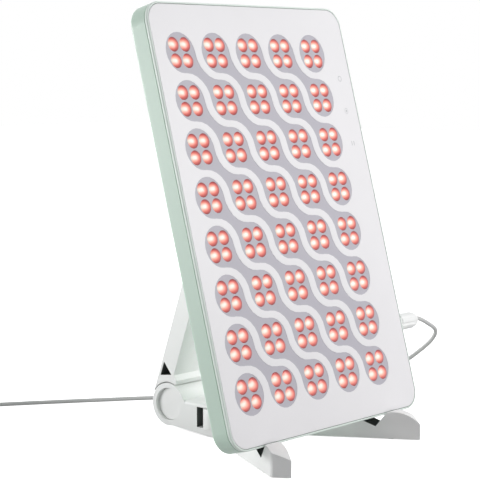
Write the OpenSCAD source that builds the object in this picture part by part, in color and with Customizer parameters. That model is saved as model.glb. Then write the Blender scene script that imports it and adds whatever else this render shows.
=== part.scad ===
// Table-top red light panel on a splayed stand.
// Millimetres. X is to the right, Y to the back, Z up. The floor is Z = 0.

/* [Panel] */
// Width of the panel
panel_w = 252.4; // [240:0.2:270]
// Height of the panel along its own face
panel_h = 366; // [350:1:380]
// Depth of the panel, front face to back face
panel_t = 20.1; // [19:0.1:22]
// Radius of the four corners seen from the front
corner_r = 17.5; // [14:0.5:22]
// Radius of the long edge round the back
edge_r = 3; // [2:0.25:4]
// Wall thickness of the rear shell
shell_wall = 2.2; // [1.8:0.1:2.6]
// Thickness of the white front plate
plate_t = 2.6; // [2:0.1:3]
// Bevel round the front plate
plate_bevel = 0.3; // [0.2:0.1:0.5]
// Width of the shell's lip round the front plate
lip_w = 1.5; // [1.2:0.1:1.8]
// Radius of the lip's outer edge
lip_r = 1.1; // [0.8:0.1:1.2]
// Width of the dark joint between lip and plate
joint_gap = 0.5; // [0.4:0.05:0.6]
// Depth of the dark joint below the front
joint_sink = 0.5; // [0.3:0.1:0.8]
// Width of the fine groove round the shell's side, behind the lip
groove_w = 0.8; // [0.5:0.1:1]
// Depth of that groove
groove_deep = 0.7; // [0.4:0.1:0.9]
// Lean of the panel away from upright, in degrees
panel_lean = 15.1; // [10:0.1:20]

/* [Lens grid] */
// Columns of lens clusters
columns = 5; // [5:1:5]
// Rows of lens clusters
rows = 8; // [8:1:8]
// Distance from the panel's left side to the first column
grid_left = 31.8; // [30:0.1:34]
// Distance from the last column to the panel's right side
grid_right = 50.2; // [48:0.1:53]
// Distance from the panel's top to the first row
grid_top = 42.6; // [41:0.1:44]
// Distance from the last row to the panel's bottom
grid_low = 43.4; // [42:0.1:45]
// Distance between the four lenses of a cluster
lens_pitch = 13.7; // [13.2:0.1:14]
// Diameter of one lens
lens_d = 11; // [10:0.1:11.2]
// Height of a lens dome above its cylinder
dome_h = 2.4; // [1.5:0.1:2.6]
// Radius of the grey pool round a cluster, as a share of the distance between clusters
pool_share = 0.43; // [0.425:0.005:0.44]
// Thickness of the grey carrier sheet
carrier_t = 1; // [0.8:0.1:1.2]
// Thickness of the clear base that joins a row of lenses
lens_base_t = 1.2; // [1:0.1:1.4]

/* [Boards] */
// Width of one square light emitter
led_w = 3.5; // [2.8:0.1:4]
// Height of one light emitter
led_h = 0.8; // [0.6:0.05:1]
// Thickness of the light board
board_t = 1.2; // [1:0.1:1.6]
// Thickness of the aluminium heat spreader
spreader_t = 1.5; // [1.2:0.1:2]
// Thickness of the driver board
driver_t = 1.4; // [1.2:0.1:1.6]
// Height of the posts under the driver board
driver_post = 0.8; // [0.6:0.1:1]
// Height of the tallest part on the driver board
driver_part_h = 3; // [2:0.1:3.2]
// Radius of the case and board screws
screw_r = 1.5; // [1.2:0.1:1.6]
// Width and height of the driver board
driver_size = [96, 70];
// Width of the sensing board behind the touch spots
touch_w = 15; // [12:0.5:16]
// Distance between the touch spots
touch_pitch = 29.7; // [28:0.1:31]
// Distance from the touch spots to the panel's right side
touch_side = 17.6; // [16:0.1:20]

/* [Lead] */
// Diameter of the lead
cord_d = 3.8; // [3.8:0.1:3.8]
// Diameter of the plug's grip where it meets the panel
plug_d = 15; // [13:0.5:15.5]
// Length of the plug's grip
plug_len = 28.6; // [27:0.1:30]
// Height of the socket above the bottom of the panel
socket_u = 76.4; // [60:0.1:90]
// Turns in each of the two layers of the spare lead
coil_turns = 3; // [3:1:3]
// Mean radius of the spare coil
coil_r = 22; // [22:1:22]

/* [Stand] */
// Distance from a leg's pin to the tip of its toe, along the leg
leg_len = 162.5; // [150:0.5:175]
// Width of a leg
leg_w = 14.5; // [13:0.5:17]
// Splay of each leg from straight ahead, in degrees
leg_splay = 30; // [26:0.5:33]
// Height of a leg behind its notch
leg_h = 21.2; // [19:0.1:22]
// Length of the slanted cut on the outside of a toe
toe_cut = 7.7; // [6:0.1:9]
// Height of the toe's upright front edge
toe_front_h = 14.2; // [11:0.1:16]
// Height of the toe's hook
toe_h = 24; // [23.5:0.1:26]
// Distance along the leg from the tip to the top of the toe's arc
toe_arc = 23; // [21:0.1:25]
// Height of the bottom of the notch
notch_h = 11; // [9:0.1:12]
// Distance from the toe's tip to the panel's lower back edge
seat_back = 44.27; // [43:0.01:46]
// Height of the middle of that rounded edge
seat_h = 19.87; // [19.5:0.01:21.5]
// Thickness of the rubber pads below the floor face
pad_lift = 0.5; // [0.3:0.1:1]
// Radius of the rubber pads
pad_r = 6; // [4:0.5:7]
// Half the distance between the two leg pins
pin_x = 13.5; // [13:0.1:14.5]
// Radius of a leg pin
pin_r = 3; // [2.5:0.1:3.5]
// Radius of the round end of a leg
knuckle_r = 12.5; // [11.5:0.1:13]
// Height of the top of that round end
knuckle_h = 25; // [24:0.1:26]
// Width of the hub
hub_w = 44; // [42:0.5:48]
// Thickness of the hub's floor under the legs
hub_floor = 7.2; // [6:0.1:8]
// Thickness of the hub's cover over the legs
cover_t = 3.8; // [3:0.1:5]
// Rounding of the cover's upper edges
cover_r = 2.6; // [1:0.1:2.9]
// Distance from the leg pins forward to the hub's front
hub_nose = 12; // [8:0.5:14]
// Distance from the leg pins back to the hub's solid block
block_back = 16.5; // [16:0.1:18]
// Distance from the leg pins back to the barrel's axis
barrel_back = 51; // [49:0.1:56]
// Height of the barrel's axis
barrel_h = 23; // [22:0.1:26]
// Radius of the barrel
barrel_r = 19.2; // [18.6:0.1:20]

/* [Arm and buttons] */
// Lean of the arm towards the panel, in degrees
arm_lean = 19; // [17:0.1:22]
// Thickness of the arm
arm_t = 17; // [14:0.1:18]
// Thickness of the arm's soft tip
tip_t = 2; // [1:0.1:3]
// Width of the arm's knuckle between the barrel's cheeks
arm_knuckle_w = 12; // [10:0.5:13]
// Radius of that knuckle
arm_knuckle_r = 13; // [12:0.1:14]
// Height of the lip at the foot of the arm's front face, from the barrel
arm_lip = 6; // [4:0.1:8]
// Depth of the pocket in each side of the arm
pocket_deep = 18; // [8:0.5:20]
// Radius of the hinge axle
axle_r = 4.2; // [4:0.1:5]
// Radius of a release button
button_r = 14.3; // [13:0.1:15]
// Thickness of a button's face
button_t = 3; // [2.5:0.1:3.4]
// Depth of the button's face below the hub's side
button_sink = 3; // [2.6:0.1:3.4]
// How far a button can be pressed
button_travel = 2.5; // [2:0.1:3]
// Radius of a button's stem
stem_r = 2.4; // [2:0.1:2.6]
// Diameter of the wire of a button's spring
wire_d = 0.7; // [0.6:0.05:0.9]

/* [Fits] */
// Gap between pieces that move past each other
gap = 0.3; // [0.25:0.05:0.4]
// Radial clearance of a pin or shaft in its hole
run = 0.05; // [0.02:0.01:0.08]

/* [Hidden] */
$fn = 64;

// Colours
mint = [0.72, 0.82, 0.75];
white = [0.94, 0.94, 0.93];
dark = [0.25, 0.26, 0.26];
grey = [0.74, 0.73, 0.76];
red = [0.95, 0.30, 0.26];
metal = [0.75, 0.76, 0.78];
green = [0.10, 0.35, 0.22];

// Depths inside the panel, measured back from the front face
boss_front = plate_t + 3.8;
carrier_back = plate_t + carrier_t;
lens_back = carrier_back + lens_base_t;
led_front = lens_back + 0.2;
board_front = led_front + led_h;
spreader_front = board_front + board_t;
spreader_back = spreader_front + spreader_t;
floor_front = panel_t - shell_wall;
driver_back = floor_front - driver_post;
driver_front = driver_back - driver_t;

// Places on the panel's face, from the middle of its bottom edge
pitch_x = (panel_w - grid_left - grid_right) / (columns - 1);
pitch_y = (panel_h - grid_top - grid_low) / (rows - 1);
pitch_min = min(pitch_x, pitch_y);
pool_r = pool_share * pitch_min;
grid_x = (grid_left - grid_right) / 2;
grid_y = (panel_h + grid_low - grid_top) / 2;
plate_inset = lip_w + joint_gap;
board_w = (columns - 1) * pitch_x + 2 * lens_pitch + 6;
board_h = (rows - 1) * pitch_y + 2 * lens_pitch + 6;
strip_w = (columns - 1) * pitch_x + lens_pitch + lens_d + 1.6;
strip_h = lens_pitch + lens_d + 1.6;
case_boss_r = screw_r + 1.8;
boss_inset = corner_r - (corner_r - plate_inset - gap - case_boss_r) * cos(45) + 0.6;
boss_x = panel_w / 2 - boss_inset;
case_bosses = [for (x = [-1, 0, 1]) for (y = [-1, 0, 1])
  if (x != 0 || y != 0) [x * boss_x, panel_h / 2 + y * (panel_h / 2 - boss_inset)]];
board_bosses = [for (x = [-1.5, 1.5]) for (y = [-3, 0, 3]) [grid_x + x * pitch_x, grid_y + y * pitch_y]];
key_x = panel_w / 2 - touch_side;
key_y = [for (k = [-1:1]) panel_h / 2 + (0.24 * panel_h + k * touch_pitch)];

// Places of the stand, in plan
leg_dir = [sin(leg_splay), -cos(leg_splay)];
leg_side = [cos(leg_splay), sin(leg_splay)];
pin_to_toe = leg_len * cos(leg_splay) + leg_w / 2 * sin(leg_splay);
depth = pin_to_toe + barrel_back + barrel_r;
toe_y = -depth / 2;
pin_y = toe_y + pin_to_toe;
barrel_y = depth / 2 - barrel_r;
tip = [pin_x, pin_y] + leg_len * leg_dir - leg_w / 2 * leg_side;
seat_y = toe_y + seat_back;
block_y = pin_y + block_back;
cover_z = knuckle_h + gap;
cover_top = cover_z + cover_t;
cover_lap = 15;
slope_y = pin_y + 4;
hub_pad = [hub_w / 2 - pad_r - 3, pin_y - 3];

cover_end = block_y + cover_lap;

// The panel's lower front edge, which the hook stops
panel_axis = [sin(panel_lean), cos(panel_lean)];
panel_out = [-cos(panel_lean), sin(panel_lean)];
seat = [seat_y, seat_h];
front_low = seat - edge_r * panel_axis + (panel_t - edge_r) * panel_out;

// The arm, from its own axis
arm_off = barrel_r - 0.1 - arm_t / 2;
reach = [barrel_y - seat_y, barrel_h - seat_h];
arm_len = (reach[0] * cos(panel_lean) - reach[1] * sin(panel_lean)
  + arm_off * cos(arm_lean + panel_lean) - edge_r - arm_t / 2 - gap) / sin(arm_lean + panel_lean);
cheek_in = arm_knuckle_w / 2 + gap;
cheek_wall = 3.4;
recess_floor = cheek_in + cheek_wall;
button_out = hub_w / 2 - button_sink;
button_in = button_out - button_t;
axle_end = recess_floor + 0.5;
stem_end = cheek_in + button_travel + 0.2;
spring_r = axle_r + wire_d + 0.6;

// Sweeps a tube of round section along a list of points
function unit(v) = v / norm(v);
function heading(p, i) = unit(p[min(i + 1, len(p) - 1)] - p[max(i - 1, 0)]);
function across(p, n, i = 0, out = []) = i == len(p) ? out :
  let (t = heading(p, i), m = unit(n - (n * t) * t)) across(p, m, i + 1, concat(out, [m]));
function start_across(p) = let (t = heading(p, 0)) abs(t[2]) < 0.9 ? [0, 0, 1] : [1, 0, 0];
function between(a, b, c, d, t) = 0.5 * (2 * b + (c - a) * t + (2 * a - 5 * b + 4 * c - d) * t * t
  + (3 * b - a - 3 * c + d) * t * t * t);
function smooth(p, n) = concat([for (i = [0:len(p) - 2]) for (k = [0:n - 1])
  between(p[max(i - 1, 0)], p[i], p[i + 1], p[min(i + 2, len(p) - 1)], k / n)], [p[len(p) - 1]]);

module tube(p, r, sides) {
  n = across(p, start_across(p));
  last = len(p) - 1;
  points = [for (i = [0:last]) let (t = heading(p, i), b = cross(t, n[i])) for (s = [0:sides - 1])
    let (a = (s + 0.5) * 360 / sides) p[i] + r * (cos(a) * n[i] + sin(a) * b)];
  walls = [for (i = [0:last - 1]) for (s = [0:sides - 1])
    let (q = (s + 1) % sides, a = i * sides) each [
      [a + s, a + sides + q, a + q],
      [a + s, a + sides + s, a + sides + q]]];
  ends = [for (s = [1:sides - 2]) each [
    [0, s, s + 1],
    [last * sides, last * sides + s + 1, last * sides + s]]];
  polyhedron(points, concat(walls, ends));
}

// Spare length, wound in and out again in two layers
coil_gap = 1;
coil_step = cord_d + coil_gap;
tie_t = 1.2;
coil_z = cord_d / 2 + tie_t + 0.2;
coil_out_r = coil_r + coil_step * coil_turns / 2;
coil_in_r = coil_r - coil_step * coil_turns / 2;
coil_heading = [-0.8682, 0.4961];
coil_start = [-92, 299];
coil_mid = coil_start + coil_out_r * [coil_heading[1], -coil_heading[0]] * -1 + cord_d * coil_heading;
coil_from = atan2(coil_start[1] + cord_d * coil_heading[1] - coil_mid[1],
  coil_start[0] + cord_d * coil_heading[0] - coil_mid[0]);
ring_step = 15;
function coil_point(r, a, z) = [coil_mid[0] + r * cos(coil_from + a), coil_mid[1] + r * sin(coil_from + a), z];
coil_in = [for (a = [0:ring_step:coil_turns * 360])
  coil_point(coil_out_r - (coil_out_r - coil_in_r) * a / (coil_turns * 360), a, coil_z)];
coil_climb = [for (a = [ring_step:ring_step:180]) coil_point(coil_in_r, coil_turns * 360 + a,
  coil_z + coil_step * a / 180)];
coil_out_turns = coil_turns - 0.5;
coil_out = [for (a = [ring_step:ring_step:coil_out_turns * 360])
  coil_point(coil_in_r + (coil_out_r - coil_in_r) * a / (coil_out_turns * 360), coil_turns * 360 + 180 + a,
  coil_z + coil_step)];
coil_turned = concat(coil_in, coil_climb, coil_out);
coil_last = coil_turned[len(coil_turned) - 1];
coil_off = unit(coil_last - coil_turned[len(coil_turned) - 2]);
coil_path = concat([[coil_start[0], coil_start[1], coil_z]], coil_turned, [coil_last + cord_d * coil_off]);
coil_clear = min([for (i = [0:len(coil_turned) - 1]) for (k = [i + 18:1:len(coil_turned) - 1])
  norm(coil_turned[i] - coil_turned[k])]) - cord_d;
coil_len = sum_len(coil_path, 0);
function sum_len(p, i) = i >= len(p) - 1 ? 0 : norm(p[i + 1] - p[i]) + sum_len(p, i + 1);
tail_from = coil_last + cord_d * coil_off;
adapter_size = [62, 34, 26];
gland = [-176, 312, 9];
adapter_at = [gland[0] - adapter_size[0], gland[1] - adapter_size[1] / 2, 0];
tail = [tail_from, tail_from + 9 * coil_off, [-128, 313.5, 10.4], [-150, 313.5, 9.4], [-166, 312, 9], gland];
// Route of the lead, chosen by eye to follow the photographed run
socket_w = 8.8;
socket_at = front_low + socket_u * panel_axis - socket_w * panel_out;
plug_yz = [socket_at[0], socket_at[1]];
route_from = panel_w / 2 + plug_len + 0.3;
route = [[route_from, plug_yz[0], plug_yz[1]], [route_from + 9, plug_yz[0], plug_yz[1]], [181, -51.5, 86],
  [199, -47.5, 77], [210.5, -34, 64], [211, -13, 47], [201, 8, 30], [186, 28, 15.5], [170, 49, 6.5],
  [151, 75, 2.9], [128, 109, 2.5], [100, 147, 2.5], [65, 187, 2.5], [23, 220, 2.5], [-24, 255, 2.5],
  [-55, 277, 2.5], [-77, 290.5, 2.9], [coil_start[0], coil_start[1], coil_z]];
echo(coil_clear = coil_clear, coil_len = coil_len, cord_len = sum_len(smooth(route, 4), 0));
echo(seat = seat, barrel = [barrel_y, barrel_h], toe_y = toe_y, arm_len = arm_len, plug = plug_yz);
echo(tail_from = tail_from, coil_off = coil_off, coil_mid = coil_mid);

// Puts a shape drawn on the panel's face, from its lower front edge, in place
module on_panel() {
  translate([0, front_low[0], front_low[1]]) rotate([90 - panel_lean, 0, 0]) children();
}

module round_rect(w, h, r) {
  translate([-w / 2 + r, 0]) square([w - 2 * r, h]);
  translate([-w / 2, r]) square([w, h - 2 * r]);
  for (x = [-1, 1]) for (y = [r, h - r]) translate([x * (w / 2 - r), y]) circle(r);
}

// Slab with round corners whose edge section is the child, drawn outward from the corner's middle
module edged_slab(w, h, r, front, back) {
  for (x = [0, 1]) for (y = [0, 1])
    translate([(x - 0.5) * (w - 2 * r), r + y * (h - 2 * r), 0])
      rotate([0, 0, x == 1 ? (y == 1 ? 0 : 270) : (y == 1 ? 90 : 180)])
        rotate_extrude(angle = 90) children();
  for (x = [0, 1]) translate([(x - 0.5) * (w - 2 * r), x == 1 ? r : h - r, 0]) rotate([90, 0, x == 1 ? 0 : 180])
    translate([0, 0, -(h - 2 * r)]) linear_extrude(h - 2 * r) children();
  for (y = [0, 1]) translate([y == 1 ? w / 2 - r : -w / 2 + r, r + y * (h - 2 * r), 0])
    rotate([90, 0, y == 1 ? 90 : 270]) translate([0, 0, -(w - 2 * r)]) linear_extrude(w - 2 * r) children();
  translate([-w / 2 + r, r, -back]) cube([w - 2 * r, h - 2 * r, back - front]);
}

// Section of the shell's edge: round back, fine side groove, round lip
module shell_edge() {
  difference() {
    union() {
      translate([0, -panel_t + edge_r]) square([corner_r, panel_t - edge_r - lip_r]);
      translate([0, -panel_t]) square([corner_r - edge_r, edge_r]);
      translate([corner_r - edge_r, -panel_t + edge_r]) circle(edge_r);
      translate([0, -lip_r]) square([corner_r - lip_r, lip_r]);
      translate([corner_r - lip_r, -lip_r]) circle(lip_r);
    }
    translate([corner_r - groove_deep, -plate_t - groove_w]) square([groove_deep + 1, groove_w]);
  }
}

module inset_rect(d) {
  translate([0, d]) round_rect(panel_w - 2 * d, panel_h - 2 * d, corner_r - d);
}

module rear_shell() {
  color(mint) on_panel() difference() {
    union() {
      difference() {
        edged_slab(panel_w, panel_h, corner_r, 0, panel_t) shell_edge();
        translate([0, 0, -floor_front]) linear_extrude(panel_t + 5) inset_rect(shell_wall);
        translate([0, 0, -plate_t]) linear_extrude(plate_t + 5) inset_rect(lip_w);
      }
      for (p = case_bosses) translate([p[0], p[1], -floor_front])
        cylinder(r = case_boss_r, h = floor_front - boss_front);
      for (p = board_bosses) translate([p[0], p[1], -floor_front])
        cylinder(r = case_boss_r, h = floor_front - spreader_back);
      for (p = driver_posts()) translate([p[0], p[1], -floor_front]) cylinder(r = 2 * screw_r, h = driver_post);
    }
    for (p = case_bosses) translate([p[0], p[1], -panel_t - 1]) {
      cylinder(r = screw_r + 0.2, h = panel_t);
      cylinder(r = 2 * screw_r + 0.2, h = 1 + shell_wall);
    }
    for (p = board_bosses) translate([p[0], p[1], -spreader_back - 4]) cylinder(r = screw_r + run, h = 5);
    translate([panel_w / 2 - shell_wall - 1, socket_u, -socket_w]) rotate([0, 90, 0])
      cylinder(r = socket_r() + 0.1, h = shell_wall + 2);
  }
}

module joint_seal() {
  color(dark) on_panel() translate([0, 0, -plate_t]) linear_extrude(plate_t - joint_sink) difference() {
    inset_rect(lip_w);
    inset_rect(plate_inset);
  }
}

// One quarter turn of a window's edge, as points
arc_steps = 6;
function quarter(c, r, from, to) = [for (k = [0:arc_steps])
  let (a = from + (to - from) * k / arc_steps) c + r * [cos(a), sin(a)]];
function cluster(i, j) = [grid_x + (j - (columns - 1) / 2) * pitch_x, grid_y + ((rows - 1) / 2 - i) * pitch_y];
waist_r = pitch_min - pool_r;
// A window follows a run of clusters down to the right and back again, in convex and hollow quarter turns
function window_down(i, j, n) = [for (k = [0:n - 1]) each concat(
  quarter(cluster(i + k, j + k), pool_r, 90, 0),
  k == n - 1 ? [] : quarter(cluster(i + k, j + k) + [pitch_min, pitch_min - pitch_y], waist_r, 180, 270))];
function window_up(i, j, n) = [for (k = [n - 1:-1:0]) each concat(
  quarter(cluster(i + k, j + k), pool_r, 270, 180),
  k == 0 ? [] : quarter(cluster(i + k, j + k) - [pitch_min, pitch_min - pitch_y], waist_r, 0, 90))];
function window(i, j, n) = concat(window_down(i, j, n),
  quarter(cluster(i + n - 1, j + n - 1), pool_r, 0, -90), window_up(i, j, n),
  quarter(cluster(i, j), pool_r, 180, 90));
window_starts = concat([for (j = [columns - 1:-1:0]) [0, j]], [for (i = [1:rows - 1]) [i, 0]]);

module front_plate() {
  plate_r = corner_r - plate_inset;
  color(white) on_panel() difference() {
    union() {
      translate([0, plate_inset, 0])
        edged_slab(panel_w - 2 * plate_inset, panel_h - 2 * plate_inset, plate_r, 0, plate_t) {
          polygon([[0, 0], [plate_r - plate_bevel, 0], [plate_r, -plate_bevel], [plate_r, -plate_t], [0, -plate_t]]);
        }
      for (p = case_bosses) translate([p[0], p[1], -boss_front])
        cylinder(r = case_boss_r, h = boss_front - plate_t);
    }
    for (s = window_starts) let (n = min(rows - s[0], columns - s[1]))
      translate([0, 0, -plate_t - 1]) linear_extrude(plate_t + 2) polygon(window(s[0], s[1], n));
    for (p = case_bosses) translate([p[0], p[1], -boss_front - 1]) cylinder(r = screw_r + run, h = 5);
  }
}

module lens_spots(i) {
  for (j = [0:columns - 1]) for (x = [-0.5, 0.5]) for (y = [-0.5, 0.5])
    translate(concat(cluster(i, j) + lens_pitch * [x, y], [0])) children();
}

module lens_carrier() {
  color(grey) on_panel() translate([0, 0, -carrier_back]) linear_extrude(carrier_t) difference() {
    translate([grid_x, grid_y - (board_h + 8) / 2]) round_rect(board_w + 8, board_h + 8, 6);
    for (i = [0:rows - 1]) lens_spots(i) circle(lens_d / 2 + 0.1);
  }
}

module lens_row(i) {
  dome_r = (pow(lens_d / 2, 2) + dome_h * dome_h) / (2 * dome_h);
  color(red) on_panel() {
    translate([grid_x - strip_w / 2, cluster(i, 0)[1] - strip_h / 2, -lens_back])
      cube([strip_w, strip_h, lens_base_t]);
    lens_spots(i) translate([0, 0, -lens_back]) rotate_extrude() {
      square([lens_d / 2, lens_back - dome_h + 0.6]);
      intersection() {
        translate([0, lens_back + 0.6 - dome_r]) circle(dome_r);
        translate([0, lens_back - dome_h + 0.6]) square([lens_d / 2, dome_h]);
      }
    }
  }
}

module leds() {
  color([0.95, 0.9, 0.6]) on_panel() for (i = [0:rows - 1]) lens_spots(i)
    translate([-led_w / 2, -led_w / 2, -board_front]) cube([led_w, led_w, led_h]);
}

module board_plate(front, t) {
  on_panel() difference() {
    translate([grid_x - board_w / 2, grid_y - board_h / 2, -front - t]) cube([board_w, board_h, t]);
    for (p = board_bosses) translate([p[0], p[1], -front - t - 1]) cylinder(r = screw_r + 0.2, h = t + 2);
  }
}

module led_board() { color(white) board_plate(board_front, board_t); }

module heat_spreader() { color(metal) board_plate(spreader_front, spreader_t); }

// The driver board lies behind the spreader, in the lower half
driver_at = [grid_x, grid_y - 2 * pitch_y];
function driver_posts() = [for (x = [-1, 1]) for (y = [-1, 1])
  driver_at + [x * (driver_size[0] / 2 - 6), y * (driver_size[1] / 2 - 6)]];

module driver_board() {
  color(green) on_panel() translate([driver_at[0] - driver_size[0] / 2, driver_at[1] - driver_size[1] / 2, -driver_back])
    cube([driver_size[0], driver_size[1], driver_t]);
}

module driver_parts() {
  cell = driver_size / 8;
  color(dark) on_panel() translate([driver_at[0], driver_at[1], -driver_front]) {
    for (x = [-2.5, -1.2]) translate([(x - 0.5) * cell[0], cell[1], 0]) cube([cell[0], 1.3 * cell[1], driver_part_h]);
    for (x = [0.7, 1.7, 2.7]) translate([x * cell[0], 1.6 * cell[1], 0])
      cylinder(r = 0.45 * cell[1], h = driver_part_h - 0.4);
    translate([-2 * cell[0], -2.5 * cell[1], 0]) cube([cell[1], cell[1], 0.4 * driver_part_h]);
    for (x = [0, 1, 2]) translate([x * cell[0], -2.3 * cell[1], 0])
      cube([0.5 * cell[0], 0.45 * cell[1], 0.5 * driver_part_h]);
  }
}

module touch_board() {
  edge = touch_w * 2 / 3;
  color(green) on_panel() translate([key_x, key_y[0] - edge, -plate_t - driver_t]) linear_extrude(driver_t)
    round_rect(touch_w, 2 * touch_pitch + 2 * edge, touch_w / 8);
}

module screw(len) {
  cylinder(r = screw_r, h = len);
  translate([0, 0, -1.6]) cylinder(r = 2 * screw_r, h = 1.6);
}

module board_screws() {
  color(metal) on_panel() for (p = board_bosses) translate([p[0], p[1], -board_front])
    rotate([180, 0, 0]) screw(spreader_back - board_front + 3.4);
}

module case_screws() {
  color(metal) on_panel() for (p = case_bosses) translate([p[0], p[1], -floor_front])
    screw(floor_front - plate_t - 0.6);
}

function socket_r() = 4.6;
plug_pin_r = 2.7;
socket_deep = 9;

module dc_socket() {
  color(dark) on_panel() translate([panel_w / 2, socket_u, -socket_w]) rotate([0, -90, 0]) difference() {
    union() {
      cylinder(r = socket_r(), h = shell_wall + 1);
      translate([-5, -5.5, shell_wall]) cube([10, 11, socket_deep + 2 - shell_wall]);
    }
    translate([0, 0, -1]) cylinder(r = plug_pin_r + run, h = socket_deep + 1);
  }
}

// Plug: round collar, fluted grip and a short cap where the lead leaves
module dc_plug() {
  collar = 0.14 * plug_len;
  grip = 0.74 * plug_len;
  flute_r = 0.16 * plug_d;
  color(white) on_panel() translate([panel_w / 2, socket_u, -socket_w]) rotate([0, 90, 0]) union() {
    cylinder(r = 0.44 * plug_d, h = collar);
    translate([0, 0, collar]) difference() {
      cylinder(r = plug_d / 2, h = grip);
      for (k = [0:7]) rotate([0, 0, 45 * k + 22.5]) translate([plug_d / 2 + 0.7 * flute_r, 0, -1])
        cylinder(r = flute_r, h = grip + 2);
    }
    translate([0, 0, collar + grip]) cylinder(r = 0.4 * plug_d, h = plug_len - collar - grip);
    translate([0, 0, -socket_deep + 0.5]) cylinder(r = plug_pin_r, h = socket_deep);
  }
}

module cord() { color(white) tube(smooth(route, 4), cord_d / 2, 8); }

module cord_coil() { color(white) tube(coil_path, cord_d / 2, 6); }

module coil_tie() {
  across_w = coil_step * coil_turns + cord_d + 0.8;
  up = coil_step + cord_d + 0.6;
  color(dark) translate([coil_mid[0], coil_mid[1], 0]) rotate([90, 0, 205]) translate([coil_r, 0, -2.5])
    linear_extrude(5) difference() {
      translate([0, 0]) round_rect(across_w + 2 * tie_t, up + 2 * tie_t, 1.8);
      translate([0, tie_t]) round_rect(across_w, up, 0.8);
    }
}

module cord_tail() { color(white) tube(smooth(tail, 3), cord_d / 2, 8); }

module wall_adapter() { color(white) translate(adapter_at) cube(adapter_size); }

module adapter_pins() {
  color(metal) translate(adapter_at) for (y = [-9.5, 9.5])
    translate([0, adapter_size[1] / 2 + y, adapter_size[2] / 2]) rotate([0, -90, 0]) cylinder(r = 2.2, h = 18);
}

// Side section of a leg, from its pin along the leg: level top, then the toe's arc
module leg_side_section() {
  r = (pow(toe_arc, 2) + pow(toe_h - toe_front_h, 2)) / (2 * (toe_h - toe_front_h));
  translate([-knuckle_r, pad_lift]) square([leg_len - toe_arc + knuckle_r, leg_h - pad_lift]);
  intersection() {
    translate([leg_len - 1.6 * toe_arc, pad_lift]) square([2 * toe_arc, toe_h]);
    translate([leg_len - toe_arc, toe_h - r]) circle(r, $fn = 128);
  }
}

// Gap that the panel's lower edge takes out of both toes, seen from the side
module notch_section() {
  polygon([notch_v(), notch_v() + 60 * notch_fore(), notch_v() + 60 * notch_aft()]);
}
// The notch takes its two slopes from the panel's edges, which it clears by the gap
function notch_slope() = 55.9;
function notch_fore() = [-cos(notch_slope()), sin(notch_slope())];
function notch_v() = let (p = front_low + gap * [-sin(notch_slope()), -cos(notch_slope())])
  p + notch_fore() * (notch_h - p[1]) / sin(notch_slope());
function notch_aft() = let (v = seat - notch_v(), a = atan2(v[1], v[0]) - asin((edge_r + gap) / norm(v)))
  [cos(a), sin(a)];

// Plan of the right leg, with a round corner where the outside turns into the slanted cut
corner = 4;
module leg_plan() {
  far = [pin_x, pin_y];
  outer = tip + leg_w * leg_side - toe_cut * leg_dir;
  turn = unit(outer - tip);
  half = acos(turn * -leg_dir) / 2;
  back = corner * tan(half);
  middle = outer - back * leg_dir - corner * leg_side;
  start = atan2(leg_side[1], leg_side[0]);
  polygon(concat([tip], [for (k = [0:6]) middle + corner * [cos(start - 2 * half * (6 - k) / 6),
    sin(start - 2 * half * (6 - k) / 6)]], [far + leg_w / 2 * leg_side, far - leg_w / 2 * leg_side]));
}

module right_leg_solid() {
  difference() {
    union() {
      difference() {
        intersection() {
          translate([0, 0, -1]) linear_extrude(toe_h + 2) leg_plan();
          translate([pin_x, pin_y, 0]) rotate([0, 0, leg_splay - 90]) translate([0, 2 * leg_w, 0]) rotate([90, 0, 0])
            linear_extrude(4 * leg_w) leg_side_section();
        }
        translate([-20, 0, 0]) rotate([90, 0, 90]) linear_extrude(200) notch_section();
      }
      translate([pin_x, pin_y, hub_floor + gap]) cylinder(r = knuckle_r, h = knuckle_h - hub_floor - gap);
    }
    translate([pin_x, pin_y, -1]) cylinder(r = knuckle_r + gap, h = hub_floor + gap + 1);
    hub_shadow();
    translate([pin_x, pin_y, -1]) cylinder(r = pin_r + run, h = knuckle_h + 2);
    translate(concat(toe_pad(1), [-1])) cylinder(r = pad_r + 0.1, h = 2.5 + 1);
  }
}
function toe_pad(side) = let (p = [pin_x, pin_y] + (leg_len - 1.1 * toe_arc) * leg_dir) [side * p[0], p[1]];

// Space that a leg leaves for the hub's floor
module hub_shadow() {
  translate([0, 0, -1]) linear_extrude(hub_floor + gap + 1) offset_plan(gap);
}
module offset_plan(g) {
  polygon([[-hub_w / 2 - g, cover_end + 5], [hub_w / 2 + g, cover_end + 5], [hub_w / 2 + g, pin_y - hub_nose / 2 - g],
    [hub_w / 2 - 8 + g, pin_y - hub_nose - g], [-hub_w / 2 + 8 - g, pin_y - hub_nose - g],
    [-hub_w / 2 - g, pin_y - hub_nose / 2 - g]]);
}

module right_leg() { color(white) right_leg_solid(); }

module left_leg() { color(white) mirror([1, 0, 0]) right_leg_solid(); }

module leg_pins() {
  color(metal) for (x = [-1, 1]) translate([x * pin_x, pin_y, hub_floor - 3]) cylinder(r = pin_r, h = cover_top - hub_floor + 1);
}

module foot_pads() {
  color(dark) {
    for (x = [-1, 1]) translate(concat(toe_pad(x), [0])) cylinder(r = pad_r, h = 2.5);
    for (x = [-1, 1]) translate([x * hub_pad[0], hub_pad[1], 0]) cylinder(r = pad_r - 1, h = 2);
  }
}

// Side outline of the hub: floor under the legs, block and barrel
module hub_side() {
  polygon([[pin_y - hub_nose, pad_lift], [slope_y, pad_lift], [barrel_y, barrel_h - barrel_r + 1], [barrel_y, cover_top],
    [cover_end, cover_top], [cover_end, cover_z], [block_y, cover_z], [block_y, hub_floor],
    [pin_y - hub_nose, hub_floor]]);
  translate([barrel_y, barrel_h]) circle(r = barrel_r);
}

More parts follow.
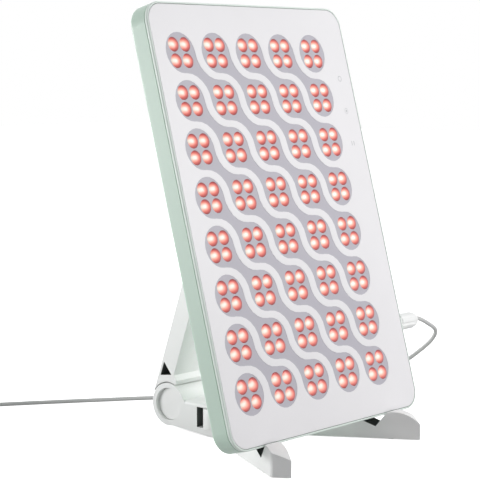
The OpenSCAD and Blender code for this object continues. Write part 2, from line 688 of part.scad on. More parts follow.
// Room in the barrel for the arm's knuckle and for the arm in its whole range
module knuckle_slot() {
  low = arm_off - arm_t / 2 - gap;
  circle(r = arm_knuckle_r + gap);
  polygon([[low, 0], [2 * barrel_r, -barrel_r / 2], [2 * barrel_r, 2 * barrel_r], [low, 2 * barrel_r]]);
}

module hub_body() {
  color(white) difference() {
    translate([-hub_w / 2, 0, 0]) rotate([90, 0, 90]) linear_extrude(hub_w) hub_side();
    for (x = [0, 1]) mirror([x, 0, 0]) translate([0, 0, -1]) linear_extrude(cover_top)
      polygon([[hub_w / 2 + 8, pin_y], [hub_w / 2 - 16, pin_y - 1.5 * hub_nose], [hub_w / 2 + 8, pin_y - 1.5 * hub_nose]]);
    on_arm() translate([0, 0, -cheek_in]) linear_extrude(2 * cheek_in) knuckle_slot();
    for (x = [-1, 1]) translate([x * recess_floor, barrel_y, barrel_h]) rotate([0, x * 90, 0])
      cylinder(r = button_r + gap, h = hub_w);
    translate([-hub_w, barrel_y, barrel_h]) rotate([0, 90, 0]) cylinder(r = axle_r + run, h = 2 * hub_w);
    for (x = [-1, 1]) {
      translate([x * pin_x, pin_y, hub_floor - 3]) cylinder(r = pin_r + run, h = 20);
      translate([x * hub_pad[0], hub_pad[1], -1]) cylinder(r = pad_r - 0.9, h = 3);
      translate([x * pin_x, block_y + cover_lap / 2, -1]) {
        cylinder(r = screw_r + run, h = cover_top);
        cylinder(r = 2 * screw_r + 0.2, h = 11);
      }
    }
  }
}

// End view of the cover, with its upper edges rounded
module cover_section() {
  intersection() {
    union() {
      translate([-hub_w / 2, cover_z - 1]) square([hub_w, cover_t - cover_r + 1]);
      translate([-hub_w / 2 + cover_r, cover_z - 1]) square([hub_w - 2 * cover_r, cover_t + 1]);
      for (x = [-1, 1]) translate([x * (hub_w / 2 - cover_r), cover_top - cover_r]) circle(r = cover_r);
    }
    translate([-hub_w, cover_z]) square([2 * hub_w, cover_t + 1]);
  }
}

module hub_cover() {
  color(white) difference() {
    intersection() {
      linear_extrude(2 * cover_top) offset_plan(0);
      translate([0, cover_end - 0.1, 0]) rotate([90, 0, 0]) linear_extrude(cover_end) cover_section();
    }
    for (x = [-1, 1]) {
      translate([x * pin_x, pin_y, cover_z - 1]) cylinder(r = pin_r + run, h = cover_t - 1 + 0.1);
      translate([x * pin_x, block_y + cover_lap / 2, cover_z - 1]) cylinder(r = screw_r + run, h = cover_t);
    }
  }
}

module hub_screws() {
  color(metal) for (x = [-1, 1]) translate([x * pin_x, block_y + cover_lap / 2, 10]) screw(cover_top - 11.2);
}

module hinge_axle() {
  color(metal) translate([-axle_end, barrel_y, barrel_h]) rotate([0, 90, 0]) difference() {
    cylinder(r = axle_r, h = 2 * axle_end);
    translate([0, 0, -1]) cylinder(r = stem_r + run, h = 2 * axle_end + 2);
  }
}

// Helical spring between the barrel's wall and a button
module spring(side) {
  turns = 3;
  long = button_in - recess_floor - wire_d - 0.2;
  path = [for (k = [0:turns * 10]) [side * (recess_floor + 0.1 + wire_d / 2 + long * k / (turns * 10)),
    barrel_y + spring_r * cos(k * 36), barrel_h + spring_r * sin(k * 36)]];
  color(metal) tube(path, wire_d / 2, 6);
}

module left_spring() { spring(-1); }

module right_spring() { spring(1); }

module button() {
  translate([0, barrel_y, barrel_h]) rotate([0, 90, 0]) {
    translate([0, 0, button_in]) cylinder(r = button_r, h = button_t);
    translate([0, 0, stem_end]) cylinder(r = stem_r, h = button_in - stem_end + 1);
  }
}

module right_button() { color(white) button(); }

module left_button() { color(white) mirror([1, 0, 0]) button(); }

// Puts a shape drawn on the arm, from the axle and along the arm, in place
module on_arm() {
  translate([0, barrel_y, barrel_h]) rotate([arm_lean, 0, 0]) rotate([90, 0, 90]) children();
}

// The arm sits over the barrel as a saddle, with a lip in front and a knuckle inside
module support_arm() {
  low = arm_off - arm_t / 2;
  saddle = barrel_r + gap;
  lip_out = 0.75 * arm_lip;
  color(white) on_arm() difference() {
    union() {
      difference() {
        translate([0, 0, -hub_w / 2]) linear_extrude(hub_w) polygon([[low, 0], [low + arm_t, 0], [low + arm_t, arm_len],
          [low, arm_len], [low, saddle + 1.4 * arm_lip], [low - lip_out, saddle + 0.8 * arm_lip],
          [low - lip_out, saddle - 1], [low, saddle - 1]]);
        translate([0, 0, -hub_w]) cylinder(r = saddle, h = 2 * hub_w);
      }
      translate([low, 4, -arm_knuckle_w / 2]) cube([arm_t - 3, barrel_r + 6, arm_knuckle_w]);
      translate([0, 0, -arm_knuckle_w / 2]) cylinder(r = arm_knuckle_r, h = arm_knuckle_w);
      translate([arm_off, arm_len, -hub_w / 2]) cylinder(r = arm_t / 2 - tip_t, h = hub_w);
    }
    translate([0, 0, -hub_w]) cylinder(r = axle_r + run, h = 2 * hub_w);
    for (z = [-hub_w / 2 - 1, hub_w / 2 - pocket_deep]) translate([0, 0, z]) linear_extrude(pocket_deep + 1)
      polygon([[low + arm_t - 2, barrel_r + 15], [low + arm_t - 2, barrel_r + 1.8], [low + 3, barrel_r + 7.5]]);
  }
}

module arm_tip() {
  color(dark) on_arm() translate([arm_off, arm_len, -hub_w / 2]) linear_extrude(hub_w) difference() {
    circle(arm_t / 2);
    circle(arm_t / 2 - tip_t);
    translate([-arm_t, -arm_t]) square([2 * arm_t, arm_t]);
  }
}

rear_shell();
joint_seal();
front_plate();
lens_carrier();
for (i = [1:rows]) lens_row(i - 1);
leds();
led_board();
heat_spreader();
driver_board();
driver_parts();
touch_board();
board_screws();
case_screws();
dc_socket();
dc_plug();
cord();
cord_coil();
coil_tie();
cord_tail();
wall_adapter();
adapter_pins();
hub_body();
hub_cover();
hub_screws();
left_leg();
right_leg();
leg_pins();
foot_pads();
hinge_axle();
left_spring();
right_spring();
support_arm();
arm_tip();
left_button();
right_button();
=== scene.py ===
"""Table-top red light panel on a splayed stand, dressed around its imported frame."""

import math

import bmesh
import bpy
from mathutils import Matrix, Vector


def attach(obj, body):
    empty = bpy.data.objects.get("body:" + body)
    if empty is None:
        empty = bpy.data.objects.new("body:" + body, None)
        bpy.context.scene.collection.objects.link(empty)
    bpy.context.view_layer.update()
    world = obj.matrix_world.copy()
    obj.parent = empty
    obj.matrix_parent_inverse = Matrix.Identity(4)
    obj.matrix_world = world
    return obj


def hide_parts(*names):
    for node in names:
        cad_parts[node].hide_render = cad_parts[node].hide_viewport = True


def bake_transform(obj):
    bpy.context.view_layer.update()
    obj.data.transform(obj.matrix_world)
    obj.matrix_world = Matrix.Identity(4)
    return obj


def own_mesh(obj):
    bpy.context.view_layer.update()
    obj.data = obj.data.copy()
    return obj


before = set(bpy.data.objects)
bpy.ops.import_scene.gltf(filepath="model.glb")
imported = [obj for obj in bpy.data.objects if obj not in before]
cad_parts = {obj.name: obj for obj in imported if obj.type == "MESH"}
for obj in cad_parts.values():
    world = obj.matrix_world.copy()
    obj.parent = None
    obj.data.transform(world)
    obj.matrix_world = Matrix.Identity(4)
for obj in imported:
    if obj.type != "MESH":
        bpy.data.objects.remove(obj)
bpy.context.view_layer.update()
MM = 0.001

# Rear shell of the panel
# A moulded tray in satin mint green that makes the back and the four sides.
# It is closed from behind by eight screws in counterbored bosses.


class Wire:
    """A shader socket that takes part in sums: each operator adds a Math node."""

    def __init__(self, finish, socket):
        self.finish = finish
        self.socket = socket

    def maths(self, operation, first, second):
        return self.finish.node("ShaderNodeMath", {"operation": operation}, {0: first, 1: second})

    def __add__(self, other):
        return self.maths("ADD", self, other)

    def __sub__(self, other):
        return self.maths("SUBTRACT", self, other)

    def __mul__(self, other):
        return self.maths("MULTIPLY", self, other)

    def __truediv__(self, other):
        return self.maths("DIVIDE", self, other)

    def __pow__(self, other):
        return self.maths("POWER", self, other)

    __radd__ = __add__
    __rmul__ = __mul__


class Finish:
    """One material: a Principled shader and the nodes that feed it."""

    def __init__(self, name, **fixed):
        self.material = bpy.data.materials.new(name)
        self.material.use_nodes = True
        self.tree = self.material.node_tree
        self.shader = self.tree.nodes["Principled BSDF"]
        for key, value in fixed.items():
            self.shader.inputs[key.replace("_", " ")].default_value = value

    def feed(self, socket, value):
        if isinstance(value, Wire):
            self.tree.links.new(value.socket, socket)
        else:
            socket.default_value = value

    def node(self, kind, settings=None, inputs=None, out=0):
        made = self.tree.nodes.new(kind)
        for key, value in (settings or {}).items():
            if key == "stops":
                ramp = made.color_ramp.elements
                for place, colour in value[2:]:
                    ramp.new(place).color = colour
                for stop, (place, colour) in zip(sorted(ramp, key=lambda e: e.position), sorted(value)):
                    stop.position = place
                    stop.color = colour
            else:
                setattr(made, key, value)
        for key, value in (inputs or {}).items():
            self.feed(made.inputs[key], value)
        return Wire(self, made.outputs[out])

    def place(self):
        return self.node("ShaderNodeTexCoord", out="Object")

    def noise(self, scale, detail):
        return self.node("ShaderNodeTexNoise", None,
                         {"Vector": self.place(), "Scale": scale, "Detail": detail})

    def blend(self, factor, first, second):
        return self.node("ShaderNodeMix", {"data_type": "RGBA"}, {0: factor, 6: first, 7: second}, out=2)

    def bump(self, height, strength, distance):
        return self.node("ShaderNodeBump", None,
                         {"Height": height, "Strength": strength, "Distance": distance})

    def set(self, name, value):
        self.feed(self.shader.inputs[name], value)


def srgb(r, g, b):
    """Linear colour of a shade given in 0 to 255 steps."""
    steps = (r / 255, g / 255, b / 255)
    return tuple(c / 12.92 if c <= 0.04045 else ((c + 0.055) / 1.055) ** 2.4 for c in steps) + (1.0,)


cloud_scale = 14.0
cloud_pale = 1.03
cloud_deep = 0.96
cloud_rough = 0.05
grain_scale = 2600.0
grain_rough = 0.04
grain_strength = 0.105
grain_height = 0.00006
rough_drop = 0.04


def moulded(name, shade, roughness, tint=None):
    """Moulded plastic: faint flow clouds in the colour, an optional colour by place that can carry painted
    light, and a fine spark-eroded grain.
    """
    made = Finish(name)
    clouds = made.noise(cloud_scale, 3.0)
    pale = tuple(min(1.0, c * cloud_pale) for c in shade[:3]) + (1.0,)
    deep = tuple(c * cloud_deep for c in shade[:3]) + (1.0,)
    colour = made.blend(clouds, deep, pale)
    made.set("Base Color", tint(made, colour) if tint else colour)
    speckle = made.noise(grain_scale, 2.0)
    made.set("Roughness", roughness - rough_drop + clouds * cloud_rough + speckle * grain_rough)
    made.set("Normal", made.bump(speckle, grain_strength, grain_height))
    return made.material


def dress(node, material):
    """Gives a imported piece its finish."""
    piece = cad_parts[node]
    piece.data.materials.clear()
    piece.data.materials.append(material)
    for face in piece.data.polygons:
        face.material_index = 0


def link(name, data):
    """Puts a mesh in the scene as an object at the origin."""
    made = bpy.data.objects.new(name, data)
    bpy.context.scene.collection.objects.link(made)
    return made


def settle(piece):
    """Turns a piece with modifiers into a plain mesh."""
    bpy.context.view_layer.update()
    seen = piece.evaluated_get(bpy.context.evaluated_depsgraph_get())
    plain = bpy.data.meshes.new_from_object(seen)
    piece.modifiers.clear()
    piece.data = plain


weld_reach = 0.00001
flat_angle = math.radians(1.0)
sharp_angle = math.radians(32)


def soften(node, body, width, material, shape=None):
    """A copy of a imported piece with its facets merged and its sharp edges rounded."""
    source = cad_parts[node]
    data = source.data.copy()
    data.transform(source.matrix_world)
    form = bmesh.new()
    form.from_mesh(data)
    bmesh.ops.remove_doubles(form, verts=form.verts, dist=weld_reach)
    bmesh.ops.dissolve_limit(form, angle_limit=flat_angle, verts=form.verts, edges=form.edges)
    if shape:
        shape(form)
    for face in form.faces:
        face.smooth = True
    form.to_mesh(data)
    form.free()
    data.materials.clear()
    data.materials.append(material)
    piece = link(node + "_soft", data)
    bevel = piece.modifiers.new("edges", "BEVEL")
    bevel.width = width * MM
    bevel.segments = 3
    bevel.limit_method = "ANGLE"
    bevel.angle_limit = sharp_angle
    settle(piece)
    for face in piece.data.polygons:
        face.use_smooth = len(face.vertices) < 5
    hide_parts(node)
    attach(piece, body)
    return piece


lean = math.radians(15.1)
face_low = Vector((0, -80.298, 21.428))
face_right = Vector((1, 0, 0))
face_up = Vector((0, math.sin(lean), math.cos(lean)))
face_out = Vector((0, -math.cos(lean), math.sin(lean)))
face_turn = Matrix((face_right, face_up, face_out)).transposed()


def on_face(x, up, out=0.0):
    """A place on the panel's front, from the middle of its lower edge."""
    return face_low + x * face_right + up * face_up + out * face_out


lip_depth = 2.6


def lip_painted_highlight(made, colour):
    """Painted highlight: the tray's lip, in front of its fine side groove, is coloured nearly white."""
    ahead = made.node("ShaderNodeVectorMath", {"operation": "DOT_PRODUCT"},
                      {0: made.place(), 1: face_out}, out="Value")
    depth = (ahead - face_low.dot(face_out) * MM) * (1 / MM)
    lip = made.node("ShaderNodeMath", {"operation": "GREATER_THAN"}, {0: depth, 1: -lip_depth})
    return made.blend(lip, colour, srgb(232, 242, 235))


# The tray's lip gets a near-white painted highlight.
mint = moulded("mint_shell", srgb(196, 217, 203), 0.42, tint=lip_painted_highlight)
dress("rear_shell", mint)

# Joint seal
# A thin strip of foam in the slot between the tray's lip and the plate, coloured dark grey as painted shade
# for the groove.
# It lies half a millimetre below the front, so it shows as a narrow shadow.
seal = moulded("joint_foam_painted_shade", srgb(138, 148, 142), 0.8)
dress("joint_seal", seal)

# Front plate
# A satin white moulding that drops inside the lip, with twelve wavy windows.
# It is held by the case screws, whose bosses stand on its back.
plate_white = moulded("plate_white", srgb(238, 236, 238), 0.36)
dress("front_plate", plate_white)


def flat_mark(name, outlines, out):
    """Thin printed shapes on the front: each outline is a list of places."""
    form = bmesh.new()
    for outline in outlines:
        form.faces.new([form.verts.new(on_face(x, up, out) * MM) for x, up in outline])
    data = bpy.data.meshes.new(name)
    form.to_mesh(data)
    form.free()
    return link(name, data)


def ring_parts(x, up, outer, inner, parts=24):
    """A printed ring, as the quads round it."""
    spots = [(math.cos(2 * math.pi * k / parts), math.sin(2 * math.pi * k / parts)) for k in range(parts + 1)]
    return [[(x + inner * a[0], up + inner * a[1]), (x + outer * a[0], up + outer * a[1]),
             (x + outer * b[0], up + outer * b[1]), (x + inner * b[0], up + inner * b[1])]
            for a, b in zip(spots, spots[1:])]


# Three touch spots at the right side carry plain printed marks: a ring, a ringed dot and two bars
key_x = 108.6
key_up = (300.54, 270.84, 241.14)
ring_outer = 2.6
ring_inner = 2.0
thin_inner = 2.2
dot_radius = 1.1
bar_places = (-2, 1)
bar_width = 1
bar_half = 2
print_proud = 0.03
marks = ring_parts(key_x, key_up[0], ring_outer, ring_inner)
eighths = [k * math.pi / 8 for k in range(16)]
marks += [[(key_x + dot_radius * math.cos(a), key_up[1] + dot_radius * math.sin(a)) for a in eighths]]
marks += ring_parts(key_x, key_up[1], ring_outer, thin_inner)
for place in bar_places:
    near = key_x + place
    far = near + bar_width
    low = key_up[2] - bar_half
    high = key_up[2] + bar_half
    marks.append([(near, low), (far, low), (far, high), (near, high)])
touch_marks = flat_mark("touch_marks", marks, print_proud)
touch_marks.data.materials.append(moulded("printed_grey", srgb(196, 196, 198), 0.5))
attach(touch_marks, "panel")

# Lens carrier
# A lilac grey sheet behind the windows, punched for each lens.
# It is glued to the back of the plate.
carrier_grey = moulded("carrier_grey", srgb(184, 181, 190), 0.45)
dress("lens_carrier", carrier_grey)


def edge_loops(edges):
    """Rings of points round the openings of a flat face, from its rim edges."""
    ways = {}
    for edge in edges:
        for near, far in (edge.verts, reversed(edge.verts)):
            ways.setdefault(near, []).append(far)
    loops = []
    while ways:
        point, last = next(iter(ways)), None
        loop = []
        while point in ways:
            loop.append(point)
            following = [other for other in ways.pop(point) if other in ways and other is not last]
            last = point
            point = following[0] if following else None
        loops.append(loop)
    return loops


# The sheet's raised pads fill the windows almost level with the plate, so each follows the rim of its window
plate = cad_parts["front_plate"]
form = bmesh.new()
form.from_mesh(plate.data)
form.transform(plate.matrix_world)
bmesh.ops.remove_doubles(form, verts=form.verts, dist=weld_reach)
facing = 0.999
level_within = 0.05
front = {f for f in form.faces if f.normal.dot(face_out) > facing
         and abs((f.calc_center_median() / MM - face_low).dot(face_out)) < level_within}
rims = edge_loops([e for e in form.edges if sum(f in front for f in e.link_faces) == 1])


def rim_reach(rim):
    """Width plus height of a rim: the plate's own outline has the largest."""
    wide = [v.co.x for v in rim]
    tall = [v.co.z for v in rim]
    return max(wide) - min(wide) + max(tall) - min(tall)


rims.sort(key=rim_reach)
pad_top = 0.2
pad_foot = 2.0
pads = bmesh.new()
for rim in rims[:-1]:
    top = [pads.verts.new(v.co - pad_top * MM * face_out) for v in rim]
    foot = [pads.verts.new(v.co - pad_foot * MM * face_out) for v in rim]
    pads.faces.new(top)
    for k in range(len(rim)):
        pads.faces.new((top[k - 1], top[k], foot[k], foot[k - 1]))
form.free()
bmesh.ops.recalc_face_normals(pads, faces=pads.faces)
bmesh.ops.triangulate(pads, faces=[f for f in pads.faces if len(f.verts) > 4])
pad_mesh = bpy.data.meshes.new("carrier_pads")
pads.to_mesh(pad_mesh)
pads.free()
carrier_pads = link("carrier_pads", pad_mesh)
pad_mesh.materials.append(carrier_grey)
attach(carrier_pads, "panel")

# Lenses
# Clear domed mouldings, four to a cluster, five clusters to a row, joined by a strip behind the carrier.
# The light under each one fills it red, with a white-hot middle towards the left.
lens_radius = 6.15
lens_base = -4.8
dome_low = -0.2
dome_top = 1.4
dome_rings = 7
dome_sides = 28
dome_lift = 0.5
lens_pitch = 13.7
column_pitch = 42.6
row_pitch = 40.0
row_count = 8
strip_rim = 0.8
strip_thick = 1.2
grid_x = -9.2
grid_up = 183.4


def dome_mesh():
    """One lens, upright at the origin, with a map that runs over its face."""
    rise = dome_top - dome_low
    ball = (lens_radius ** 2 + rise ** 2) / (2 * rise)
    widest = math.asin(lens_radius / ball)
    angles = [widest * k / dome_rings for k in range(1, dome_rings + 1)]
    profile = [(ball * math.sin(a), dome_top - ball * (1 - math.cos(a))) for a in angles]
    profile.append((lens_radius, lens_base + dome_lift))
    form = bmesh.new()
    tip = form.verts.new((0, 0, dome_top))
    turns = [2 * math.pi * s / dome_sides for s in range(dome_sides)]
    rings = [[form.verts.new((r * math.cos(t), r * math.sin(t), z)) for t in turns] for r, z in profile]
    for s in range(dome_sides):
        beside = (s + 1) % dome_sides
        form.faces.new((tip, rings[0][s], rings[0][beside]))
        for near, far in zip(rings, rings[1:]):
            form.faces.new((near[s], far[s], far[beside], near[beside]))
    chart = form.loops.layers.uv.new("UVMap")
    for face in form.faces:
        face.smooth = True
        for corner in face.loops:
            at = corner.vert.co / lens_radius
            corner[chart].uv = (0.5 + 0.5 * at.x, 0.5 + 0.5 * at.y)
    data = bpy.data.meshes.new("lens_dome")
    form.to_mesh(data)
    form.free()
    data.transform(Matrix.Scale(MM, 4))
    return data


def repeat_tree():
    """Geometry Nodes that put a piece on each point and give it a finish."""
    tree = bpy.data.node_groups.new("repeat_on_points", "GeometryNodeTree")
    sockets = {}
    for name, kind in (("Points", "NodeSocketGeometry"), ("Piece", "NodeSocketObject"),
                       ("Turn", "NodeSocketRotation"), ("Finish", "NodeSocketMaterial")):
        sockets[name] = tree.interface.new_socket(name, in_out="INPUT", socket_type=kind).identifier
    tree.interface.new_socket("Geometry", in_out="OUTPUT", socket_type="NodeSocketGeometry")
    start = tree.nodes.new("NodeGroupInput")
    spots = tree.nodes.new("GeometryNodeMeshToPoints")
    piece = tree.nodes.new("GeometryNodeObjectInfo")
    placed = tree.nodes.new("GeometryNodeInstanceOnPoints")
    real = tree.nodes.new("GeometryNodeRealizeInstances")
    finish = tree.nodes.new("GeometryNodeSetMaterial")
    end = tree.nodes.new("NodeGroupOutput")
    for source, target in ((start.outputs["Points"], spots.inputs["Mesh"]),
                           (start.outputs["Piece"], piece.inputs["Object"]),
                           (spots.outputs[0], placed.inputs["Points"]),
                           (piece.outputs["Geometry"], placed.inputs["Instance"]),
                           (start.outputs["Turn"], placed.inputs["Rotation"]),
                           (placed.outputs[0], real.inputs[0]),
                           (real.outputs[0], finish.inputs["Geometry"]),
                           (start.outputs["Finish"], finish.inputs["Material"]),
                           (finish.outputs[0], end.inputs[0])):
        tree.links.new(source, target)
    return tree, sockets


repeat, repeat_sockets = repeat_tree()


def scatter(name, places, piece, turn, material):
    """Copies a piece to each place with the repeat nodes, as one plain mesh."""
    data = bpy.data.meshes.new(name)
    data.from_pydata([p * MM for p in places], [], [])
    made = link(name, data)
    nodes = made.modifiers.new("repeat", "NODES")
    nodes.node_group = repeat
    nodes[repeat_sockets["Piece"]] = piece
    nodes[repeat_sockets["Turn"]] = turn
    nodes[repeat_sockets["Finish"]] = material
    settle(made)
    return made


# The hot middle lies left of each dome's own, and the glow fades from it, sooner up and down than across
hot_left = 0.62
across_reach = 0.93
across_fade = 0.76
along_fade = 1.16
fade_end = 1.22
body_dim = 0.5
glow_strength = 0.62
lens_glow = Finish("lens_glow", Roughness=0.34, Coat_Weight=0.08, Coat_Roughness=0.2)
chart = lens_glow.node("ShaderNodeSeparateXYZ", None, {0: lens_glow.node("ShaderNodeTexCoord", out="UV")})
across = Wire(lens_glow, chart.socket.node.outputs[0]) * 2.0 - 1.0
along = Wire(lens_glow, chart.socket.node.outputs[1]) * 2.0 - 1.0
away = (((across * across_reach + hot_left) * across_fade) ** 2.0 + (along * along_fade) ** 2.0) ** 0.5
heat = lens_glow.node("ShaderNodeValToRGB", {"stops": [
    (0.0, srgb(255, 248, 238)), (1.0, srgb(126, 36, 38)), (0.17, srgb(255, 236, 222)),
    (0.33, srgb(252, 194, 176)), (0.5, srgb(242, 150, 134)), (0.66, srgb(220, 104, 94)),
    (0.82, srgb(182, 70, 66))]}, {0: away / fade_end})
# The base colour carries the same glow pattern at half strength, painted light beside the emission.
lens_glow.set("Base Color", lens_glow.blend(body_dim, heat, (0, 0, 0, 1)))
lens_glow.set("Emission Color", heat)
lens_glow.set("Emission Strength", glow_strength)
dome = link("lens_dome", dome_mesh())
cluster_half = lens_pitch / 2 + lens_radius + strip_rim
strip_half = (2 * column_pitch + cluster_half, cluster_half)
for number in range(1, row_count + 1):
    up = grid_up + ((row_count + 1) / 2 - number) * row_pitch
    places = [on_face(grid_x + column * column_pitch + x * lens_pitch, up + y * lens_pitch)
              for column in (-2, -1, 0, 1, 2) for x in (-0.5, 0.5) for y in (-0.5, 0.5)]
    row = scatter("lens_row_%d_glow" % number, places, dome, face_turn.to_euler(), lens_glow.material)
    form = bmesh.new()
    form.from_mesh(row.data)
    box = bmesh.ops.create_cube(form, size=1.0)["verts"]
    for vert in box:
        vert.co = on_face(grid_x + 2 * strip_half[0] * vert.co.x, up + 2 * strip_half[1] * vert.co.y,
                          lens_base + strip_thick / 2 + strip_thick * vert.co.z) * MM
    form.to_mesh(row.data)
    form.free()
    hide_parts("lens_row_%d" % number)
    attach(row, "panel")
bpy.data.objects.remove(dome)

# Inside of the panel
# Boards, emitters and screws, which nothing shows from outside.
# They are cut and stamped parts, stacked on the bosses of the tray.
steel = moulded("plated_steel", srgb(190, 191, 195), 0.3)
steel.node_tree.nodes["Principled BSDF"].inputs["Metallic"].default_value = 1.0
board_green = moulded("board_green", srgb(24, 92, 52), 0.4)
black = moulded("black_plastic", srgb(40, 40, 41), 0.5)
resin = moulded("emitter_resin", srgb(240, 224, 150), 0.3)
for node in ("board_screws", "case_screws", "hub_screws", "leg_pins", "hinge_axle", "left_spring",
             "right_spring", "adapter_pins", "heat_spreader"):
    dress(node, steel)
for node in ("driver_board", "touch_board"):
    dress(node, board_green)
for node in ("driver_parts", "dc_socket"):
    dress(node, black)
dress("leds", resin)
dress("led_board", plate_white)

# Hub, legs and arm of the stand
# White satin mouldings with softly broken edges.
# The legs turn on steel pins in the hub, and the arm on an axle in its barrel.
stand_white = moulded("stand_white", srgb(242, 242, 241), 0.4)
rubber = moulded("dark_rubber", srgb(58, 59, 60), 0.75)
barrel = Vector((0, 88.0771, 23))
saddle_radius = 19.5
saddle_ease = 0.7


def open_saddle(form):
    """Eases the arm's saddle off the barrel, so that the joint shows as a dark line."""
    for vert in form.verts:
        spoke = vert.co / MM - barrel
        spoke.x = 0
        if abs(spoke.length - saddle_radius) < 0.1:
            vert.co += saddle_ease * MM * spoke.normalized()


# Painted shade: the stop that the legs close on in the hub, the arm's two pockets and the toes' notches are
# coloured dark where shade falls in them
painted_gap_shade = moulded("painted_gap_shade", srgb(64, 68, 66), 0.8)
leg_stop = 53.577
stop_within = 0.3
pocket_x = (3.5, 20.5)
pocket_ring = (21.5, 36)
toe_back = -30


def on_stop(at, out):
    """The wall of the hub that the legs close on, which faces the front; it is coloured with painted shade.
    """
    return out.y < -0.9 and abs(at.y - leg_stop) < stop_within


def in_pocket(at, out):
    """The arm's two pockets, which lie in a ring round the barrel; they are coloured with painted shade."""
    around = (at - barrel).yz.length
    return pocket_x[0] < abs(at.x) < pocket_x[1] and pocket_ring[0] < around < pocket_ring[1]


def in_notch(at, out):
    """The faces of a toe's notch, which follow the panel and have no slant to the side; they are coloured
    with painted shade.
    """
    return abs(out.x) < 0.03 and abs(out.y) > 0.15 and at.y < toe_back


inside = {"hub_body": on_stop, "support_arm": in_pocket, "left_leg": in_notch, "right_leg": in_notch}
for node, body, width in (("hub_body", "stand", 0.9), ("hub_cover", "stand", 0.5), ("left_leg", "stand", 0.5),
                          ("right_leg", "stand", 0.5), ("support_arm", "arm", 0.6),
                          ("left_button", "left_button", 0.8), ("right_button", "right_button", 0.8),
                          ("wall_adapter", "stand", 3.0)):
    piece = soften(node, body, width, stand_white, shape=open_saddle if node == "support_arm" else None)
    # Faces that pass these tests take the painted shade material.
    if node in inside:
        piece.data.materials.append(painted_gap_shade)
        for face in piece.data.polygons:
            face.material_index = int(inside[node](face.center / MM, face.normal))
for node in ("foot_pads", "arm_tip", "coil_tie"):
    dress(node, rubber)

# Each button spring becomes a mesh of its own on the stand. In the real stand the springs shorten by the
# buttons' travel, towards their seats in the middle of the axle; here they keep their length.
for side in ("left", "right"):
    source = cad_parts[side + "_spring"]
    data = source.data.copy()
    data.transform(source.matrix_world)
    spring = link(side + "_spring_wire", data)
    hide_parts(side + "_spring")
    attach(spring, "stand")
    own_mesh(spring)

# Lead
# A pale grey sleeved lead, 3.8 mm thick, from the plug in the panel's side to its wall adapter.
# It runs behind the stand, and its spare length is wound in two layers of three turns.
cord_radius = 1.9
route = [(155.1, -51.899, 92.898), (164.1, -51.899, 92.898), (181, -51.5, 86), (199, -47.5, 77),
         (210.5, -34, 64), (211, -13, 47), (201, 8, 30), (186, 28, 15.5), (170, 49, 6.5),
         (151, 75, 2.9), (128, 109, 2.5), (100, 147, 2.5), (65, 187, 2.5), (23, 220, 2.5),
         (-24, 255, 2.5), (-55, 277, 2.5), (-77, 290.5, 2.9), (-92, 299, 3.3)]
coil_turns = 3
coil_step = 4.8
coil_radius = 22
coil_low = 3.3
coil_heading = Vector((-0.8682, 0.4961))
coil_outer = coil_radius + coil_step * coil_turns / 2
coil_inner = coil_radius - coil_step * coil_turns / 2
coil_entry = Vector(route[-1][:2]) + 2 * cord_radius * coil_heading
coil_middle = coil_entry + coil_outer * Vector((-coil_heading.y, coil_heading.x))
coil_from = math.atan2(coil_entry.y - coil_middle.y, coil_entry.x - coil_middle.x)


def coil_point(radius, turned, height):
    """A place on the coil, by the degrees that the lead has turned since it came in."""
    angle = coil_from + math.radians(turned)
    middle = coil_middle.to_3d()
    return middle + Vector((radius * math.cos(angle), radius * math.sin(angle), height))


def smooth(points, steps):
    """Points along a Catmull-Rom curve through a route."""
    points = [Vector(p) for p in points]
    out = []
    for i in range(len(points) - 1):
        a, b, c, d = points[max(i - 1, 0)], points[i], points[i + 1], points[min(i + 2, len(points) - 1)]
        for k in range(steps):
            t = k / steps
            out.append(0.5 * (2 * b + (c - a) * t + (2 * a - 5 * b + 4 * c - d) * t * t
                              + (3 * b - a - 3 * c + d) * t ** 3))
    return out + [points[-1]]


half_turn = 180
turn_step = 15
wound = 2 * half_turn * coil_turns
unwound = wound - half_turn
coil_band = coil_outer - coil_inner
coil_path = [coil_point(coil_outer - coil_band * a / wound, a, coil_low)
             for a in range(0, wound + 1, turn_step)]
coil_path += [coil_point(coil_inner, wound + a, coil_low + coil_step * a / half_turn)
              for a in range(turn_step, half_turn + 1, turn_step)]
coil_path += [coil_point(coil_inner + coil_band * a / unwound, wound + half_turn + a, coil_low + coil_step)
              for a in range(turn_step, unwound + 1, turn_step)]
leaving = (coil_path[-1] - coil_path[-2]).normalized()
coil_end = coil_path[-1] + 2 * cord_radius * leaving
gland = Vector((-176, 312, 9))
tail = [coil_end, coil_end + 9 * leaving, (-128, 313.5, 10.4), (-150, 313.5, 9.4), (-166, 312, 9), gland]
lead_path = smooth(route, 6) + coil_path + smooth(tail, 4)


def tube(name, points, radius, sides):
    """A closed round tube along a list of points."""
    points = [Vector(p) for p in points]
    mesh = bmesh.new()
    across = Vector((0, 0, 1))
    turns = [2 * math.pi * s / sides for s in range(sides)]
    rings = []
    for i, point in enumerate(points):
        ahead = (points[min(i + 1, len(points) - 1)] - points[max(i - 1, 0)]).normalized()
        across = (across - across.dot(ahead) * ahead).normalized()
        beside = ahead.cross(across)
        spokes = [math.cos(a) * across + math.sin(a) * beside for a in turns]
        rings.append([mesh.verts.new(point + radius * spoke) for spoke in spokes])
    for near, far in zip(rings, rings[1:]):
        for s in range(sides):
            mesh.faces.new((near[s], near[(s + 1) % sides], far[(s + 1) % sides], far[s])).smooth = True
    mesh.faces.new(list(reversed(rings[0])))
    mesh.faces.new(rings[-1])
    data = bpy.data.meshes.new(name)
    mesh.to_mesh(data)
    mesh.free()
    data.transform(Matrix.Scale(MM, 4))
    return link(name, data)


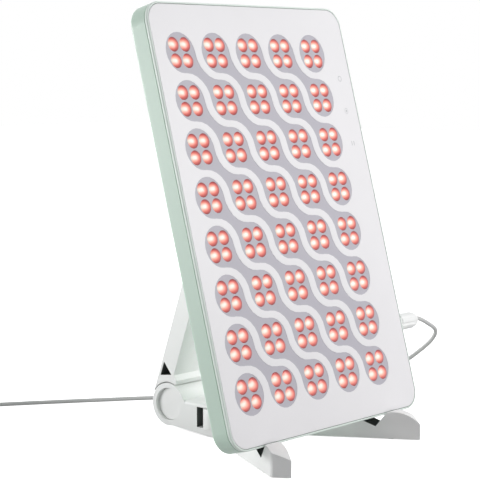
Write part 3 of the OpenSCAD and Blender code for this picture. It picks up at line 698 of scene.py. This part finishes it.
sleeve = moulded("lead_sleeve", srgb(198, 198, 197), 0.55)
lead_sides = 12
lead = tube("lead", lead_path, cord_radius, lead_sides)
lead.data.materials.append(sleeve)
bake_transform(lead)
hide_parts("cord", "cord_coil", "cord_tail")
lead_length = sum((b - a).length for a, b in zip(lead_path, lead_path[1:])) * MM
[p * MM for p in lead_path]
dress("dc_plug", moulded("plug_white", srgb(246, 246, 245), 0.45))

# Camera, light and floor
# A long lens in front and to the left, level with the upper part of the panel.
# Softboxes stand in front, at the side, behind and above, and a small one lights the hub from the right.
# The floor and the sky are white to the camera and in reflections, and the sky's own light is soft.
looks_down = 5.957
looks_right = 49.206
camera = bpy.data.objects.new("camera", bpy.data.cameras.new("camera"))
bpy.context.scene.collection.objects.link(camera)
camera.location = (-1.07663, -0.90663, 0.32135)
camera.rotation_euler = (math.radians(90 - looks_down), 0, math.radians(-looks_right))
camera.data.sensor_width = 36
camera.data.lens = 123.75
camera.data.clip_end = 50
bpy.context.scene.camera = camera

world = bpy.data.worlds.new("studio")
bpy.context.scene.world = world
world.use_nodes = True
sky = world.node_tree.nodes
soft = sky["Background"]
soft.inputs["Color"].default_value = (0.96, 0.98, 1.0, 1)
soft.inputs["Strength"].default_value = 0.38
clear = sky.new("ShaderNodeBackground")
clear.inputs["Color"].default_value = (1, 1, 1, 1)
clear.inputs["Strength"].default_value = 1.0
choose = sky.new("ShaderNodeMixShader")
looked = sky.new("ShaderNodeLightPath")
shown = looked.outputs["Is Camera Ray"]
join = world.node_tree.links.new
for ray in ("Is Glossy Ray", "Is Transmission Ray"):
    either = sky.new("ShaderNodeMath")
    either.operation = "MAXIMUM"
    join(shown, either.inputs[0])
    join(looked.outputs[ray], either.inputs[1])
    shown = either.outputs[0]
join(shown, choose.inputs[0])
join(soft.outputs[0], choose.inputs[1])
join(clear.outputs[0], choose.inputs[2])
join(choose.outputs[0], sky["World Output"].inputs["Surface"])


def lamp(name, place, target, size, power, tint=(1, 1, 1)):
    """A square softbox aimed at a point."""
    data = bpy.data.lights.new(name, "AREA")
    data.size = size
    data.energy = power
    data.color = tint
    made = bpy.data.objects.new(name, data)
    made.location = place
    made.rotation_euler = (Vector(target) - Vector(place)).to_track_quat("-Z", "Y").to_euler()
    made.visible_camera = False
    bpy.context.scene.collection.objects.link(made)


lamp("front", (0.5, -0.9, 0.62), (0, -0.03, 0.27), 0.5, 7.4)
lamp("side", (-1.0, 1.25, 0.15), (0, 0, 0.08), 0.6, 18.5)
lamp("back", (0.6, 1.5, 0.5), (0, 0, 0.15), 0.8, 8)
lamp("top", (-0.3, 0.25, 1.4), (0, 0.05, 0.05), 0.5, 1.2)
lamp("inner", (0.1, 0.01, 0.12), (-0.02, 0.085, 0.045), 0.08, 0.095, (1, 0.92, 0.97))

floor_half = 6
floor_z = -0.0002
floor_grey = (0.42, 0.42, 0.42, 1)
floor_pale = (0.85, 0.85, 0.85, 1)
floor_glow = 0.8
corners = [(-1, -1), (1, -1), (1, 1), (-1, 1)]
floor_mesh = bpy.data.meshes.new("floor")
floor_mesh.from_pydata([(floor_half * x, floor_half * y, floor_z) for x, y in corners], [], [(0, 1, 2, 3)])
floor = link("floor", floor_mesh)
floor_white = Finish("floor_white", Roughness=0.9)
seen = floor_white.node("ShaderNodeLightPath", out="Is Camera Ray")
for ray in ("Is Glossy Ray", "Is Transmission Ray"):
    seen = seen.maths("MAXIMUM", seen, floor_white.node("ShaderNodeLightPath", out=ray))
floor_white.set("Base Color", floor_white.blend(seen, floor_grey, floor_pale))
floor_white.set("Emission Color", floor_white.blend(seen, (0, 0, 0, 1), (1, 1, 1, 1)))
floor_white.set("Emission Strength", floor_glow)
floor_mesh.materials.append(floor_white.material)
bpy.context.scene.view_settings.view_transform = "Standard"
